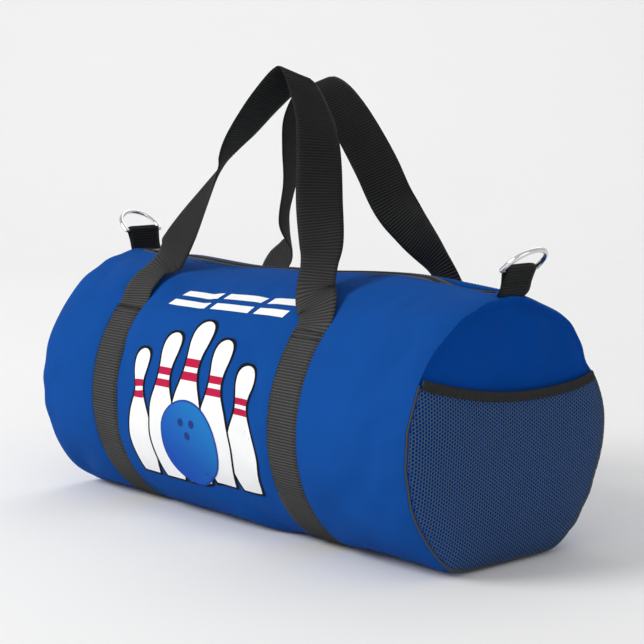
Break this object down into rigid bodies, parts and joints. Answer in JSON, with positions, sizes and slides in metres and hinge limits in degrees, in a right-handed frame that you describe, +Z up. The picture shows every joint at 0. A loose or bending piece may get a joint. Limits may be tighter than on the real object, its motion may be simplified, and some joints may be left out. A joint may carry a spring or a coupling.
{
  "type": "bowling duffel bag",
  "caption": "Soft barrel duffel bag for bowling gear with webbing carry handles, a zipped top mouth, a mesh end pocket and a swinging metal D-ring at each end.",
  "frame": {"origin": "centre of the bag's underside, on the surface it stands on", "axes": "+X towards the end with the mesh pocket, +Y towards the back, +Z up"},
  "size_m": [0.5196, 0.2332, 0.3859],
  "materials": {
    "body_fabric": "woven polyester, royal blue",
    "end_fabric": "woven polyester, royal blue",
    "binding": "folded elastic tape, black",
    "mesh": "knitted polyester mesh, grey",
    "webbing": "ribbed webbing, black",
    "thread": "polyester thread, black",
    "zip_tape": "woven zip tape, black",
    "zip_teeth": "nylon coil, black",
    "zip_metal": "black enamel over zinc",
    "ring_metal": "polished nickel"
  },
  "bodies": {
    "bag": {"main_panel": "body_fabric", "left_end_panel": "end_fabric", "right_end_panel": "end_fabric", "left_seam_binding": "binding", "right_seam_binding": "binding", "pocket_mesh": "mesh", "pocket_binding": "binding", "left_strap": "webbing", "right_strap": "webbing", "strap_bartacks": "thread", "left_ring_tab": "webbing", "right_ring_tab": "webbing", "ring_tab_stitches": "thread", "left_zip_end": "zip_tape", "right_zip_end": "zip_tape"},
    "front_mouth": {"front_mouth_panel": "body_fabric", "front_zip_tape": "zip_tape", "front_zip_teeth": "zip_teeth"},
    "rear_mouth": {"rear_mouth_panel": "body_fabric", "rear_zip_tape": "zip_tape", "rear_zip_teeth": "zip_teeth"},
    "slider": {"zip_slider": "zip_metal"},
    "pull": {"zip_pull": "zip_metal"},
    "left_ring": {"left_d_ring": "ring_metal"},
    "right_ring": {"right_d_ring": "ring_metal"},
    "front_grip": {"front_handle": "webbing"},
    "rear_grip": {"rear_handle": "webbing"}
  },
  "joints": [
    {"name": "front_handle_fold", "type": "hinge", "parent": "bag", "child": "front_grip", "pos_m": [0, -0.0867, 0.176], "axis": [1, 0, 0], "range_deg": [0, 140]},
    {"name": "rear_handle_fold", "type": "hinge", "parent": "bag", "child": "rear_grip", "pos_m": [0, 0.0867, 0.176], "axis": [-1, 0, 0], "range_deg": [0, 140]},
    {"name": "front_mouth_open", "type": "hinge", "parent": "bag", "child": "front_mouth", "pos_m": [0, -0.031, 0.2079], "axis": [1, 0, 0], "range_deg": [0, 75]},
    {"name": "rear_mouth_open", "type": "hinge", "parent": "bag", "child": "rear_mouth", "pos_m": [0, 0.031, 0.2079], "axis": [-1, 0, 0], "range_deg": [0, 75]},
    {"name": "zip_slide", "type": "slide", "parent": "bag", "child": "slider", "axis": [1, 0, 0], "range_m": [0, 0.39]},
    {"name": "pull_swing", "type": "hinge", "parent": "slider", "child": "pull", "pos_m": [-0.19, 0, 0.2165], "axis": [0, 1, 0], "range_deg": [0, 175]},
    {"name": "left_ring_swing", "type": "hinge", "parent": "bag", "child": "left_ring", "pos_m": [-0.239, 0.006, 0.23164], "axis": [0, -1, 0], "range_deg": [-100, 110]},
    {"name": "right_ring_swing", "type": "hinge", "parent": "bag", "child": "right_ring", "pos_m": [0.239, 0.006, 0.23164], "axis": [0, 1, 0], "range_deg": [-100, 110]}
  ]
}
